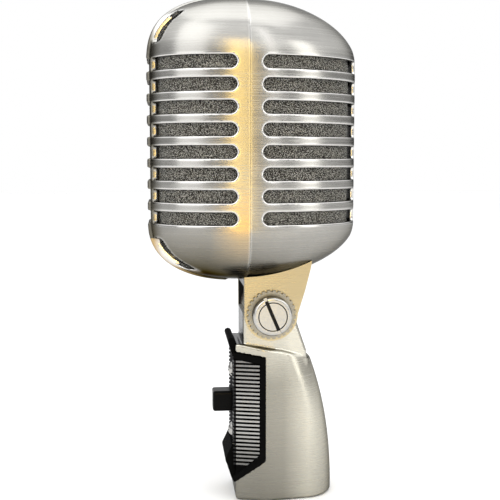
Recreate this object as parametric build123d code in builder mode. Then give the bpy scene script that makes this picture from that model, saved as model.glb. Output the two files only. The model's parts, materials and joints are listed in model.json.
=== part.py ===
"""Slotted stage ribbon microphone: two-piece grille head on a tilting neck and a switched stand-mount base.

Millimetres. +Z up, the front faces -Y. The origin is on the stand-thread axis, on the base's bottom face.
"""

import os
from math import cos, radians, sin

from build123d import *

os.makedirs("parts", exist_ok=True)

# ---- driving sizes ---------------------------------------------------------
HEAD_TOP = 187.5        # crown of the head
HEAD_FLOOR = 84.0       # underside of the head
SEAM_Y = -5.0           # joint plane between the two grille shells
HEAD_HALF_W = 28.0      # half width of the head at the seam
FRONT_DEPTH = 36.0      # seam plane to the foremost rib
REAR_DEPTH = 42.5       # seam plane to the rear of the head
FRONT_CUT = 34.4        # where the front shell goes flat behind the ribs
REAR_CUT = 41.8         # where the rear shell goes flat on its spine
SHOULDER_Z = 162.0      # start of the crown
CHIN_Z = 105.5          # start of the rounded underside
WALL = 2.0              # grille shell wall
SLOT_ROWS = 8
SLOT_TOP_Z = 162.4      # centre of the top slot
SLOT_PITCH = 7.77
SLOT_H = 4.5
FRONT_SLOT_Y = -9.6     # rounded end of the front slots
REAR_SLOT_Y = -0.4      # rounded end of the rear slots
RIB_PITCH = 8.5
CORNER_SLOT_X, CORNER_SLOT_W = 13.8, 6.4    # wide outer slots of the crown and the chin
RIB_W = 3.6
PIVOT_Y, PIVOT_Z = 4.0, 71.8
FOOT_POSTS = ((-10, 13), (10, 13), (-10, -1), (10, -1))
POST_TOP = 92.0         # top of the floor posts inside the head
FOOT_Z = POST_TOP + 4.95
CHEEK_IN, CHEEK_OUT = 11.5, 14.5
CHEEK_R = 9.9
TONGUE_W = 10.9         # half width of the base tongue
TONGUE_R = 9.0
BASE_FRONT = -9.0
THREAD_R = 7.45         # 5/8 in - 27 stand thread, minor radius
THREAD_L = 13.0
XLR_Y, XLR_R, XLR_DEPTH = 17.4, 9.0, 15.0
RIB_COUNT, TRIM_PITCH = 27, 1.51
SWITCH_Z = 36.35        # slider centre in its upper position
SWITCH_TRAVEL = 4.0
PLATE_SCREW_Z = (48.2, 24.4)
BRIDGE_Z = 82.0         # underside of the neck bridge


def save(builder, name):
    """Label a finished piece and write it out."""
    builder.part.label = name
    export_step(builder.part, "parts/" + name + ".step")


def squircle(t, power):
    """Height of a unit superellipse at t."""
    return max(0.0, 1.0 - t**power) ** (1.0 / power)


def arc_points(half_w, z0, rise, power, steps=(0, 20, 38, 54, 68, 80)):
    """Points of a superelliptic arch from (half_w, z0) to its crest (0, z0 + rise)."""
    arch = [
        (
            half_w * cos(radians(a)) ** (2 / power),
            z0 + rise * sin(radians(a)) ** (2 / power),
        )
        for a in steps
    ]
    return arch + [(0, z0 + rise)]


def section(front, depth, inset):
    """Half width, crown height and floor height of the head at a depth from the seam."""
    if front:
        t = depth / (FRONT_DEPTH - inset)
        width = squircle(t, 2.5)
        crown = squircle(t, 2.75)
        floor = squircle(t, 2.15)
    else:
        t = depth / (REAR_DEPTH - inset)
        width = squircle(t, 1.95)
        crown = squircle(t, 2.0)
        floor = squircle(t, 1.7)
    half_w = (HEAD_HALF_W - inset) * width
    rise = (HEAD_TOP - inset - SHOULDER_Z) * crown
    drop = (CHIN_Z - HEAD_FLOOR - inset) * floor
    return half_w, rise, drop


def head_outline(front, depth, inset):
    """Closed upright outline of half of the head at a depth from the seam."""
    half_w, rise, drop = section(front, depth, inset)
    crown = arc_points(half_w, SHOULDER_Z, rise, 2.3)
    under = arc_points(half_w, CHIN_Z, -drop, 2.5)
    with BuildSketch(Plane.XY, mode=Mode.PRIVATE) as outline:
        with BuildLine():
            Line((half_w, CHIN_Z), (half_w, SHOULDER_Z))
            Spline(*crown, tangents=((0, 1), (-1, 0)))
            Line(crown[-1], under[-1])
            Spline(*reversed(under), tangents=((1, 0), (0, 1)))
        make_face()
    return outline.sketch_local


def stations(front, inset):
    """Depths at which the head outline is drawn."""
    last = (FRONT_CUT if front else REAR_CUT) - inset
    shares = (0, 0.3, 0.52, 0.7, 0.84, 0.94, 1.0)
    return [last * s for s in shares]


def head_plane(front, depth):
    """Upright plane at a depth from the seam."""
    y = SEAM_Y - depth if front else SEAM_Y + depth
    return Plane.XZ.offset(-y)


def head_solid(front, inset, slip=0.0):
    """Solid half of the head, in front of or behind the seam, drawn in by `inset`."""
    with BuildPart(mode=Mode.PRIVATE) as half:
        for depth in stations(front, inset):
            with BuildSketch(head_plane(front, depth + slip)):
                add(head_outline(front, depth, inset))
        loft()
        mirror(about=Plane.YZ)
    return half.part


def slot_z(row):
    """Centre height of a grille slot."""
    return SLOT_TOP_Z - SLOT_PITCH * row


def front_profile(inset):
    """Side outline of the front, from the crown down and under the chin, as (y, z) runs."""
    depth = FRONT_DEPTH - inset
    crown = HEAD_TOP - inset - SHOULDER_Z
    chin = CHIN_Z - HEAD_FLOOR - inset
    top = [
        (
            SEAM_Y - depth * cos(radians(a)) ** (2 / 2.75),
            SHOULDER_Z + crown * sin(radians(a)) ** (2 / 2.75),
        )
        for a in (56, 42, 28, 14, 0)
    ]
    low = [
        (
            SEAM_Y - depth * cos(radians(a)) ** (2 / 2.15),
            CHIN_Z - chin * sin(radians(a)) ** (2 / 2.15),
        )
        for a in (0, 20, 40, 60, 80)
    ]
    return top, low


# ---- grille head -----------------------------------------------------------
with BuildPart() as front_grille:
    add(head_solid(True, 0))
    # three upright ribs
    outer_top, outer_low = front_profile(-0.3)
    inner_top, inner_low = front_profile(5.0)
    for x in (-RIB_PITCH, 0, RIB_PITCH):
        with BuildSketch(Plane.YZ.offset(x)):
            with BuildLine():
                Spline(*outer_top)
                Line(outer_top[-1], outer_low[0])
                Spline(*outer_low)
                Line(outer_low[-1], inner_low[-1])
                Spline(*inner_low)
                Line(inner_low[0], inner_top[-1])
                Spline(*inner_top)
                Line(inner_top[0], outer_top[0])
            make_face()
        extrude(amount=RIB_W / 2, both=True)
    add(head_solid(True, WALL), mode=Mode.SUBTRACT)
    # horizontal slots, round the front corners to the outer ribs
    for side in (1, -1):
        with BuildSketch(Plane.YZ.offset(side * 11.4)):
            for row in range(SLOT_ROWS):
                with Locations((FRONT_SLOT_Y - 25, slot_z(row))):
                    SlotOverall(50, SLOT_H)
        extrude(amount=side * 20, mode=Mode.SUBTRACT)
    # windows between the ribs, and upright slots in the crown and the chin
    with BuildSketch(Plane.XZ.offset(24)):
        for row in range(SLOT_ROWS):
            with Locations((RIB_PITCH / 2, slot_z(row)), (-RIB_PITCH / 2, slot_z(row))):
                RectangleRounded(4.2, SLOT_H, 1.4)
    extrude(amount=30, mode=Mode.SUBTRACT)
    with BuildSketch(Plane.XZ.offset(21)):
        for x, width in ((RIB_PITCH / 2, 4.4), (CORNER_SLOT_X, CORNER_SLOT_W)):
            with Locations((x, 175.5), (x, 94.7), (-x, 175.5), (-x, 94.7)):
                RectangleRounded(width, 11.0, 2.1)
    extrude(amount=33, mode=Mode.SUBTRACT)
    with BuildSketch(Plane.XY.offset(HEAD_FLOOR - 1)):
        with Locations((0, 4)):
            Circle(3.5)
    extrude(amount=12, mode=Mode.SUBTRACT)
save(front_grille, "front_grille")

with BuildPart() as rear_grille:
    add(head_solid(False, 0))
    add(head_solid(False, WALL), mode=Mode.SUBTRACT)
    for side in (1, -1):
        with BuildSketch(Plane.YZ.offset(side * 5.2)):
            for row in range(SLOT_ROWS):
                with Locations((REAR_SLOT_Y + 25, slot_z(row))):
                    SlotOverall(50, SLOT_H)
        extrude(amount=side * 26, mode=Mode.SUBTRACT)
    # floor posts for the motor bracket, the lead hole and two screw holes
    with BuildPart(mode=Mode.PRIVATE) as posts:
        with BuildSketch(Plane.XY.offset(HEAD_FLOOR)):
            with Locations(*FOOT_POSTS):
                Circle(3.0)
        extrude(amount=POST_TOP - HEAD_FLOOR)
        add(head_solid(False, 0.6), mode=Mode.INTERSECT)
    add(posts.part)
    with BuildSketch(Plane.XY.offset(HEAD_FLOOR - 1)):
        with Locations((0, 4)):
            Circle(3.5)
        with Locations((-6.5, 8.5), (6.5, 8.5)):
            Circle(1.55)
    extrude(amount=12, mode=Mode.SUBTRACT)
save(rear_grille, "rear_grille")

# soft lining behind the slots
for front, name in ((True, "front_foam"), (False, "rear_foam")):
    with BuildPart() as foam:
        add(head_solid(front, WALL + 0.35))
        add(head_solid(front, 5.0), mode=Mode.SUBTRACT)
        # a thin gap at the seam, and room over the floor posts
        with BuildSketch(head_plane(front, 0)):
            Rectangle(80, 400)
        extrude(amount=0.2 if front else -0.2, mode=Mode.SUBTRACT)
        with BuildSketch(Plane.XY.offset(HEAD_FLOOR)):
            with Locations((0, 6.0)):
                RectangleRounded(28, 27, 4)
        extrude(amount=14, mode=Mode.SUBTRACT)
    save(foam, name)

# ---- neck ------------------------------------------------------------------
with BuildPart() as neck_yoke:
    with BuildSketch(Plane.YZ):
        with BuildLine():
            Line((-6, 96), (PIVOT_Y - CHEEK_R, PIVOT_Z))
            ThreePointArc(
                (PIVOT_Y - CHEEK_R, PIVOT_Z), (PIVOT_Y, PIVOT_Z - CHEEK_R), (PIVOT_Y + CHEEK_R, PIVOT_Z)
            )
            Polyline((PIVOT_Y + CHEEK_R, PIVOT_Z), (16.6, 80.5), (18.6, 88.5), (20.0, 96), (-6, 96))
        make_face()
    extrude(amount=CHEEK_OUT, both=True)
    # its top is hollowed to the underside of the head
    add(head_solid(True, -0.05), mode=Mode.SUBTRACT)
    add(head_solid(False, -0.05), mode=Mode.SUBTRACT)
    with BuildSketch(Plane.XZ.offset(-30)):
        with BuildLine():
            Polyline(
                (-CHEEK_IN, 50), (-CHEEK_IN, BRIDGE_Z), (CHEEK_IN, BRIDGE_Z), (CHEEK_IN, 50), close=True
            )
        make_face()
    extrude(amount=60, mode=Mode.SUBTRACT)
    with BuildSketch(Plane.YZ.offset(-20)):
        with Locations((PIVOT_Y, PIVOT_Z)):
            Circle(3.35)
    extrude(amount=40, mode=Mode.SUBTRACT)
    with BuildSketch(Plane.XY.offset(78)):
        with Locations((0, 4)):
            Circle(3.5)
        with Locations((-6.5, 8.5), (6.5, 8.5)):
            Circle(1.55)
    extrude(amount=12, mode=Mode.SUBTRACT)
save(neck_yoke, "neck_yoke")

for x, name in ((-6.5, "neck_screw_left"), (6.5, "neck_screw_right")):
    with BuildPart() as neck_screw:
        with Locations((x, 8.5, BRIDGE_Z - 1.0)):
            Cylinder(2.7, 1.0, align=(Align.CENTER, Align.CENTER, Align.MIN))
            Cylinder(1.5, 7.0, align=(Align.CENTER, Align.CENTER, Align.MIN))
        with Locations((x, 8.5, BRIDGE_Z - 1.0)):
            Box(4, 0.6, 0.5, align=(Align.CENTER, Align.CENTER, Align.MIN), mode=Mode.SUBTRACT)
    save(neck_screw, name)

# ---- ribbon motor ----------------------------------------------------------
MOTOR_Y = -14.0
MOTOR_LOW, MOTOR_HIGH = 108.0, 162.0
for side, tag in ((-1, "left"), (1, "right")):
    with BuildPart() as magnet:
        with Locations((side * 15.2, MOTOR_Y, (MOTOR_LOW + MOTOR_HIGH) / 2)):
            Box(7.4, 10, MOTOR_HIGH - MOTOR_LOW)
    save(magnet, "magnet_" + tag)
    with BuildPart() as pole:
        with BuildSketch(Plane.XY.offset(MOTOR_LOW)):
            with BuildLine():
                Polyline(
                    (side * 3.0, MOTOR_Y - 1.2),
                    (side * 11.4, MOTOR_Y - 4.5),
                    (side * 11.4, MOTOR_Y + 4.5),
                    (side * 3.0, MOTOR_Y + 1.2),
                    close=True,
                )
            make_face()
        extrude(amount=MOTOR_HIGH - MOTOR_LOW)
    save(pole, "pole_piece_" + tag)

for z, name in ((MOTOR_HIGH + 0.1, "motor_top_plate"), (MOTOR_LOW - 4.1, "motor_bottom_plate")):
    with BuildPart() as plate:
        with BuildSketch(Plane.XY.offset(z)):
            with Locations((0, MOTOR_Y)):
                RectangleRounded(38, 12, 2)
                RectangleRounded(7, 5, 1, mode=Mode.SUBTRACT)
                with Locations((-14, 0), (14, 0)):
                    Circle(1.6, mode=Mode.SUBTRACT)
        extrude(amount=4)
    save(plate, name)

# corrugated foil hung in the gap between the pole pieces, with flat ends under the clamps
FOLDS = 36
with BuildPart() as ribbon:
    fold = (MOTOR_HIGH - MOTOR_LOW) / FOLDS
    crest = [
        (MOTOR_Y + (0.35 if k % 2 else -0.35), MOTOR_LOW + fold * k) for k in range(1, FOLDS)
    ]
    tail = [(MOTOR_Y, MOTOR_LOW - 6.6), (MOTOR_Y, MOTOR_LOW)]
    run = [*tail, *crest, (MOTOR_Y, MOTOR_HIGH), (MOTOR_Y, MOTOR_HIGH + 6.6)]
    back = [(y + 0.12, z) for y, z in reversed(run)]
    with BuildSketch(Plane.YZ):
        with BuildLine():
            Polyline(*run, *back, close=True)
        make_face()
    extrude(amount=2.4, both=True)
save(ribbon, "ribbon")

for z, tag in ((MOTOR_HIGH + 4.2, "top"), (MOTOR_LOW - 6.7, "bottom")):
    with BuildPart() as clamp:
        for y, depth in ((MOTOR_Y - 1.55, 3.0), (MOTOR_Y + 1.67, 3.0)):
            with Locations((0, y, z)):
                Box(9, depth, 2.5, align=(Align.CENTER, Align.CENTER, Align.MIN))
    save(clamp, "ribbon_clamp_" + tag)

with BuildPart() as motor_screws:
    for x in (-14, 14):
        for z, way in ((MOTOR_HIGH + 4.15, 1), (MOTOR_LOW - 4.15, -1)):
            with Locations(Plane((x, MOTOR_Y, z), z_dir=(0, 0, way))):
                Cylinder(2.9, 1.6, align=(Align.CENTER, Align.CENTER, Align.MIN))
                Cylinder(1.5, 4.0, align=(Align.CENTER, Align.CENTER, Align.MAX))
save(motor_screws, "motor_screws")

# carrier plate behind the motor, on four rubber bushes, standing on a foot over the neck
with BuildPart() as motor_bracket:
    with BuildSketch(Plane.XZ.offset(6.4)):
        with Locations((0, (FOOT_Z + 163) / 2)):
            Rectangle(36, 163 - FOOT_Z)
        with Locations((0, 135)):
            RectangleRounded(19, 44, 3, mode=Mode.SUBTRACT)
        with Locations((-15, 116), (15, 116), (-15, 154), (15, 154)):
            Circle(1.6, mode=Mode.SUBTRACT)
    extrude(amount=1.4)
    with Locations((0, 5.1, FOOT_Z)):
        Box(26, 23, 1.4, align=(Align.CENTER, Align.CENTER, Align.MIN))
    with BuildSketch(Plane.XY.offset(FOOT_Z - 1)):
        with Locations((0, 2)):
            Circle(4.2)
        with Locations(*FOOT_POSTS):
            Circle(1.2)
    extrude(amount=5, mode=Mode.SUBTRACT)
save(motor_bracket, "motor_bracket")

with BuildPart() as rubber_bushes:
    with BuildSketch(Plane.XY.offset(POST_TOP + 0.05)):
        with Locations(*FOOT_POSTS):
            Circle(2.8)
            Circle(1.2, mode=Mode.SUBTRACT)
    extrude(amount=4.8)
save(rubber_bushes, "rubber_bushes")

with BuildPart() as transformer_core:
    with Locations((0, 11.0, FOOT_Z + 1.45)):
        Box(22, 13, 20, align=(Align.CENTER, Align.CENTER, Align.MIN))
    with BuildSketch(Plane.XZ.offset(0)):
        with Locations((-6.5, FOOT_Z + 11.45), (6.5, FOOT_Z + 11.45)):
            Rectangle(5, 12)
    extrude(amount=-30, mode=Mode.SUBTRACT)
save(transformer_core, "transformer_core")

with BuildPart() as transformer_coil:
    with BuildSketch(Plane.XY.offset(FOOT_Z + 5.85)):
        with Locations((0, 11.0)):
            RectangleRounded(17.4, 19.4, 4)
            Rectangle(8.3, 13.5, mode=Mode.SUBTRACT)
    extrude(amount=11.2)
save(transformer_coil, "transformer_coil")

# ---- base ------------------------------------------------------------------
FRONT_HALF, SIDE_HALF, SIDE_Y = 11.0, 14.0, 2.0


def base_outline(rear, barrel_r, grow=0.0):
    """Plan of the base: flat front, flared sides, then a taper to a round barrel at the rear."""
    yc = rear - barrel_r
    # straight flank from the side edge to the tangent direction of the barrel
    lean = radians(12)
    tx, ty = (barrel_r + grow) * cos(lean), yc + barrel_r * sin(lean)
    with BuildSketch(Plane.XY, mode=Mode.PRIVATE) as outline:
        with BuildLine():
            Polyline(
                (-tx, ty),
                (-SIDE_HALF - grow, SIDE_Y),
                (-FRONT_HALF - grow * 0.8, BASE_FRONT - grow),
                (FRONT_HALF + grow * 0.8, BASE_FRONT - grow),
                (SIDE_HALF + grow, SIDE_Y),
                (tx, ty),
            )
            ThreePointArc((tx, ty), (0, rear + grow), (-tx, ty))
        make_face()
    return outline.sketch_local


def front_wrap(outer, inner, outline):
    """Skin wrapped over the base front between two growths of its plan, within a side outline of (y, z)."""
    with BuildPart(mode=Mode.PRIVATE) as wrap:
        with BuildSketch(Plane.XY):
            add(base_outline(29.0, 12.0, outer))
            add(base_outline(29.0, 12.0, inner), mode=Mode.SUBTRACT)
        extrude(amount=70)
        with BuildSketch(Plane.YZ):
            with BuildLine():
                Polyline(*outline, close=True)
            make_face()
        extrude(amount=40, both=True, mode=Mode.INTERSECT)
    return wrap.part


def frame_outline(inset, back_y):
    """Side outline of the trim frame: a sloped top edge and a bottom edge that runs down to a front tip."""
    return (
        (back_y, 55.1 - inset),
        (-20, 58.6 - inset),
        (-20, 7.2 + inset * 1.2),
        (-9.2, 7.4 + inset * 1.2),
        (back_y, 15.8 + inset * 1.2),
    )


SECTIONS = ((0, 29.1, 12.2), (15, 28.4, 12.1), (30, 26.6, 12.0), (45, 23.4, 11.8), (61, 17.4, 11.4))
with BuildPart() as base_casting:
    # lower housing, its rear leaning forward to the shoulder
    for z, rear, barrel in SECTIONS:
        with BuildSketch(Plane.XY.offset(z)):
            add(base_outline(rear, barrel))
    loft()
    with BuildSketch(Plane.YZ.offset(-30)):
        with BuildLine():
            Polyline((-20, 60.4), (-7.5, 60.2), (8.6, 57.3), (22, 52.8), (40, 52.8))
            Polyline((40, 52.8), (40, 80), (-20, 80), (-20, 60.4))
        make_face()
    extrude(amount=60, mode=Mode.SUBTRACT)
    # tongue that stands between the neck cheeks, its rear corners rounded
    with BuildPart(mode=Mode.PRIVATE) as tongue:
        with BuildSketch(Plane.YZ):
            with BuildLine():
                Line((-6.2, 48), (-6.2, 64))
                Line((-6.2, 64), (PIVOT_Y - TONGUE_R, PIVOT_Z))
                ThreePointArc(
                    (PIVOT_Y - TONGUE_R, PIVOT_Z),
                    (PIVOT_Y, PIVOT_Z + TONGUE_R),
                    (PIVOT_Y + TONGUE_R, PIVOT_Z),
                )
                Polyline((PIVOT_Y + TONGUE_R, PIVOT_Z), (18.4, 56.5), (18.4, 48), (-6.2, 48))
            make_face()
        extrude(amount=TONGUE_W, both=True)
        side_edges = tongue.edges().filter_by(Axis.X, reverse=True)
        fillet([e for e in side_edges if e.center().Y > 14.5], 5)
    add(tongue.part)
    # stand thread
    with BuildSketch(Plane.XY):
        Circle(THREAD_R)
    extrude(amount=THREAD_L, mode=Mode.SUBTRACT)
    # inlet socket
    with BuildSketch(Plane.XY):
        with Locations((0, XLR_Y)):
            Circle(XLR_R)
    extrude(amount=XLR_DEPTH + 6, mode=Mode.SUBTRACT)
    # room for the switch and the leads
    with BuildSketch(Plane.XY.offset(THREAD_L + 2)):
        with Locations((0, 1.5)):
            RectangleRounded(20, 16, 2)
    extrude(amount=37, mode=Mode.SUBTRACT)
    with BuildSketch(Plane.XY.offset(THREAD_L + 6)):
        with Locations((0, 9)):
            RectangleRounded(14, 14, 3)
    extrude(amount=25, mode=Mode.SUBTRACT)
    # lead channel through the tongue
    with BuildSketch(Plane.XY.offset(48)):
        with Locations((0, PIVOT_Y)):
            Circle(4)
    extrude(amount=40, mode=Mode.SUBTRACT)
    # bores for the pivot screws
    with BuildSketch(Plane.YZ.offset(-20)):
        with Locations((PIVOT_Y, PIVOT_Z)):
            Circle(3.3)
    extrude(amount=40, mode=Mode.SUBTRACT)
    # window for the switch plate
    with BuildSketch(Plane.XZ.offset(20)):
        with Locations((0, SWITCH_Z - 2)):
            RectangleRounded(16, 21, 2)
        for z in PLATE_SCREW_Z:
            with Locations((0, z)):
                Circle(1.35)
    extrude(amount=-16, mode=Mode.SUBTRACT)
    # seat of the trim frame
    add(front_wrap(0.5, -1.2, frame_outline(-0.2, 2.0)), mode=Mode.SUBTRACT)
save(base_casting, "base_casting")

# black moulded surround, with a rounded lip over its top edge and a pointed one at its foot
with BuildPart() as trim_frame:
    add(front_wrap(0.9, -1.0, frame_outline(0, 1.8)))
    # sunk panels for the bright bars, one each side, and for the switch plate
    add(front_wrap(1.5, 0.0, frame_outline(2.0, -0.1)), mode=Mode.SUBTRACT)
    with BuildSketch(Plane.XZ.offset(20)):
        with Locations((0, SWITCH_Z - 2)):
            RectangleRounded(15.6, 20.6, 2)
        for z in PLATE_SCREW_Z:
            with Locations((0, z)):
                Circle(1.35)
    extrude(amount=-16, mode=Mode.SUBTRACT)
    with BuildSketch(Plane.YZ):
        with BuildLine():
            Polyline((-9.1, 60.9), (-9.1, 54.2), (-9.7, 54.2), (-10.4, 56.5), (-11.7, 60.9))
            ThreePointArc((-11.7, 60.9), (-10.4, 62.4), (-9.1, 60.9))
        make_face()
        with BuildLine():
            Polyline((-9.1, 8.8), (-9.1, 11.2), (-9.7, 21.5), (-10.4, 21.0), (-12.5, 16.6))
            ThreePointArc((-12.5, 16.6), (-12.8, 15.4), (-12.4, 14.2))
            Polyline((-12.4, 14.2), (-10.2, 7.4), (-9.1, 7.4), (-9.1, 8.8))
        make_face()
    extrude(amount=10.0, both=True)
save(trim_frame, "trim_frame")

for side, tag in ((-1, "left"), (1, "right")):
    with BuildPart() as trim_ribs:
        for k in range(RIB_COUNT):
            z = 54.1 - TRIM_PITCH * k
            add(front_wrap(0.95, 0.05, ((-0.3, z), (-20, z), (-20, z - 0.7), (-0.3, z - 0.7))))
        with BuildSketch(Plane.XY):
            with Locations((side * (10.15 - 40), 0)):
                Rectangle(80, 80)
        extrude(amount=60, mode=Mode.SUBTRACT)
        with BuildSketch(Plane.YZ):
            with BuildLine():
                Polyline((-20, 10.2), (-9.2, 10.2), (0.5, 18.9), (0.5, -5), (-20, -5), close=True)
            make_face()
            with BuildLine():
                Polyline((0.5, 52.8), (-20, 56.4), (-20, 60), (0.5, 60), close=True)
            make_face()
        extrude(amount=40, both=True, mode=Mode.SUBTRACT)
    save(trim_ribs, "trim_ribs_" + tag)

# middle plate with the slider's slot and two screw holes
with BuildPart() as switch_plate:
    with BuildSketch(Plane.XZ.offset(-BASE_FRONT + 0.05)) as face:
        with BuildLine():
            Polyline((-9.9, 54.0), (-9.9, 21.6), (9.9, 21.6), (9.9, 54.0), close=True)
        make_face()
        with Locations((0, SWITCH_Z - SWITCH_TRAVEL / 2)):
            Rectangle(3.6, 8.6, mode=Mode.SUBTRACT)
        for z in PLATE_SCREW_Z:
            with Locations((0, z)):
                Circle(1.35, mode=Mode.SUBTRACT)
    extrude(amount=0.5)
save(switch_plate, "switch_plate")

for z, tag in zip(PLATE_SCREW_Z, ("upper", "lower")):
    with BuildPart() as plate_screw:
        with Locations(Plane((0, BASE_FRONT - 0.6, z), z_dir=(0, -1, 0))):
            Cylinder(2.2, 0.5, align=(Align.CENTER, Align.CENTER, Align.MIN))
            Cylinder(1.3, 6.0, align=(Align.CENTER, Align.CENTER, Align.MAX))
        with Locations((0, BASE_FRONT + 1.0, z)):
            Sphere(3.1)
        with BuildSketch(Plane.XZ.offset(-BASE_FRONT - 6)):
            with Locations((0, z)):
                Circle(6)
                Circle(1.3, mode=Mode.SUBTRACT)
        extrude(amount=6.6, mode=Mode.SUBTRACT)
        with Locations((0, BASE_FRONT - 2, z)):
            Box(2.6, 1.2, 0.6, mode=Mode.SUBTRACT)
            Box(0.6, 1.2, 2.6, mode=Mode.SUBTRACT)
    save(plate_screw, "plate_screw_" + tag)

# slider knob with its stem and contact carriage
with BuildPart() as switch_slider:
    with BuildSketch(Plane.XZ.offset(-BASE_FRONT + 0.75)):
        with Locations((0, SWITCH_Z)):
            RectangleRounded(8.0, 7.9, 1.2)
    extrude(amount=7.4)
    fillet(switch_slider.faces().sort_by(Axis.Y)[0].edges(), 1.0)
    with Locations((0, BASE_FRONT + 1.0, SWITCH_Z)):
        Box(3.0, 5.0, 3.4)
    with Locations((0, BASE_FRONT + 4.7, SWITCH_Z)):
        Box(6.0, 2.4, 5.0)
save(switch_slider, "switch_slider")

with BuildPart() as slide_switch:
    with Locations((0, BASE_FRONT + 6.0, SWITCH_Z - 2)):
        Box(14, 8.0, 17)
        Box(10, 9.0, 10.6, mode=Mode.SUBTRACT)
    with Locations((0, BASE_FRONT + 10.6, SWITCH_Z - 2)):
        Box(14, 1.2, 17)
    for x in (-3, 3):
        for z in (-5, 0, 5):
            with Locations((x, BASE_FRONT + 11.0, SWITCH_Z - 2 + z)):
                Box(1.8, 2.5, 0.8, mode=Mode.SUBTRACT)
save(slide_switch, "slide_switch")

with BuildPart() as switch_terminals:
    for x in (-3, 3):
        for z in (-5, 0, 5):
            with Locations((x, BASE_FRONT + 12.2, SWITCH_Z - 2 + z)):
                Box(1.6, 4.4, 0.5)
save(switch_terminals, "switch_terminals")

# ---- tilt joint hardware ---------------------------------------------------
TEETH = 28
for side, tag in ((-1, "left"), (1, "right")):
    out = (side, 0, 0)
    with BuildPart() as friction_washer:
        with BuildSketch(Plane((side * 10.95, PIVOT_Y, PIVOT_Z), z_dir=out)):
            Circle(9.2)
            Circle(3.3, mode=Mode.SUBTRACT)
        extrude(amount=0.5)
    save(friction_washer, "friction_washer_" + tag)

    with BuildPart() as lock_washer:
        with BuildSketch(Plane((side * 14.55, PIVOT_Y, PIVOT_Z), z_dir=out)):
            Circle(9.1)
            Circle(3.3, mode=Mode.SUBTRACT)
            with PolarLocations(9.3, TEETH):
                Rectangle(1.5, 0.8, mode=Mode.SUBTRACT)
        extrude(amount=1.0)
    save(lock_washer, "lock_washer_" + tag)

    with BuildPart() as pivot_screw:
        with Locations(Plane((side * 15.6, PIVOT_Y, PIVOT_Z), z_dir=out)):
            Cylinder(7.2, 4.4, align=(Align.CENTER, Align.CENTER, Align.MIN))
            Cylinder(3.25, 10.2, align=(Align.CENTER, Align.CENTER, Align.MAX))
        rim = pivot_screw.faces().sort_by(Axis.X)[-1 if side > 0 else 0].edges()
        fillet(rim, 1.1)
        with Locations(Plane((side * 20.0, PIVOT_Y, PIVOT_Z), z_dir=out)):
            Cylinder(5.4, 0.7, align=(Align.CENTER, Align.CENTER, Align.MAX), mode=Mode.SUBTRACT)
            Cylinder(5.0, 0.7, align=(Align.CENTER, Align.CENTER, Align.MAX))
        with Locations(Location((side * 20.0, PIVOT_Y, PIVOT_Z), (23, 0, 0))):
            Box(3.6, 1.3, 20, mode=Mode.SUBTRACT)
    save(pivot_screw, "pivot_screw_" + tag)

# ---- inlet -----------------------------------------------------------------
with BuildPart() as inlet_insulator:
    with BuildSketch(Plane.XY.offset(XLR_DEPTH)):
        with Locations((0, XLR_Y)):
            Circle(XLR_R - 0.02)
            for a in (90, 210, 330):
                with Locations((5.0 * cos(radians(a)), 5.0 * sin(radians(a)))):
                    Circle(1.22, mode=Mode.SUBTRACT)
    extrude(amount=5)
save(inlet_insulator, "inlet_insulator")

with BuildPart() as inlet_pins:
    for a in (90, 210, 330):
        with Locations((5.0 * cos(radians(a)), XLR_Y + 5.0 * sin(radians(a)), 4.6)):
            Cylinder(1.2, XLR_DEPTH + 1.0, align=(Align.CENTER, Align.CENTER, Align.MIN))
    fillet(inlet_pins.edges().group_by(Axis.Z)[0], 0.8)
save(inlet_pins, "inlet_pins")

# leads from the inlet to the switch and on up the tongue, and from the neck to the transformer
with BuildPart() as base_leads:
    for x in (-1, 1):
        with BuildLine() as lead:
            Spline(
                (x * 4.33, XLR_Y - 2.5, 21.3),
                (x * 3.9, 12.0, 27.0),
                (x * 3.0, 9.5, 34.0),
                (x * 1.6, 5.5, 44.0),
                (x * 1.4, PIVOT_Y, 56.0),
                (x * 1.4, PIVOT_Y, 80.4),
            )
        with BuildSketch(Plane(lead.line @ 0, z_dir=lead.line % 0)):
            Circle(0.6)
        sweep()
save(base_leads, "base_leads")

with BuildPart() as head_leads:
    for x in (-1, 1):
        with BuildLine() as lead:
            Spline(
                (x * 1.4, PIVOT_Y, 82.4),
                (x * 1.4, 3.4, 88.0),
                (x * 1.6, 1.4, 96.0),
                (x * 2.5, -1.6, 105.0),
                (x * 4.0, -0.6, 113.0),
                (x * 4.0, 2.6, 115.4),
            )
        with BuildSketch(Plane(lead.line @ 0, z_dir=lead.line % 0)):
            Circle(0.6)
        sweep()
save(head_leads, "head_leads")
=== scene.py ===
import json
import math

import bpy
import numpy as np
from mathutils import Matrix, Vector


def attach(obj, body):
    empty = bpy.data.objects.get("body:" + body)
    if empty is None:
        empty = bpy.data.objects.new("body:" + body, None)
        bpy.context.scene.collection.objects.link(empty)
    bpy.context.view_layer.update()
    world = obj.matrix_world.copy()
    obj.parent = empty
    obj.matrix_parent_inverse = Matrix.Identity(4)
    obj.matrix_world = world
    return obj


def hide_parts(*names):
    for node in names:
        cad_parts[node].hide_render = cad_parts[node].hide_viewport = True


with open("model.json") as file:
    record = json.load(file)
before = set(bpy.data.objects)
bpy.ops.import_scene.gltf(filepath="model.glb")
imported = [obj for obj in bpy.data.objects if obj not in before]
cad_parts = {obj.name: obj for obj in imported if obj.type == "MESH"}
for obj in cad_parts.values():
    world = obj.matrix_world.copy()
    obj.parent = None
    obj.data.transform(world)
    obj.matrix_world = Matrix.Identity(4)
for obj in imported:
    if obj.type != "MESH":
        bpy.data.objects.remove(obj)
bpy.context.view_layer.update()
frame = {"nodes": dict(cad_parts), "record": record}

MM = 0.001
SCENE = bpy.context.scene
PIVOT_Y, PIVOT_Z = 4.0, 71.8    # tilt axis, in millimetres

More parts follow.
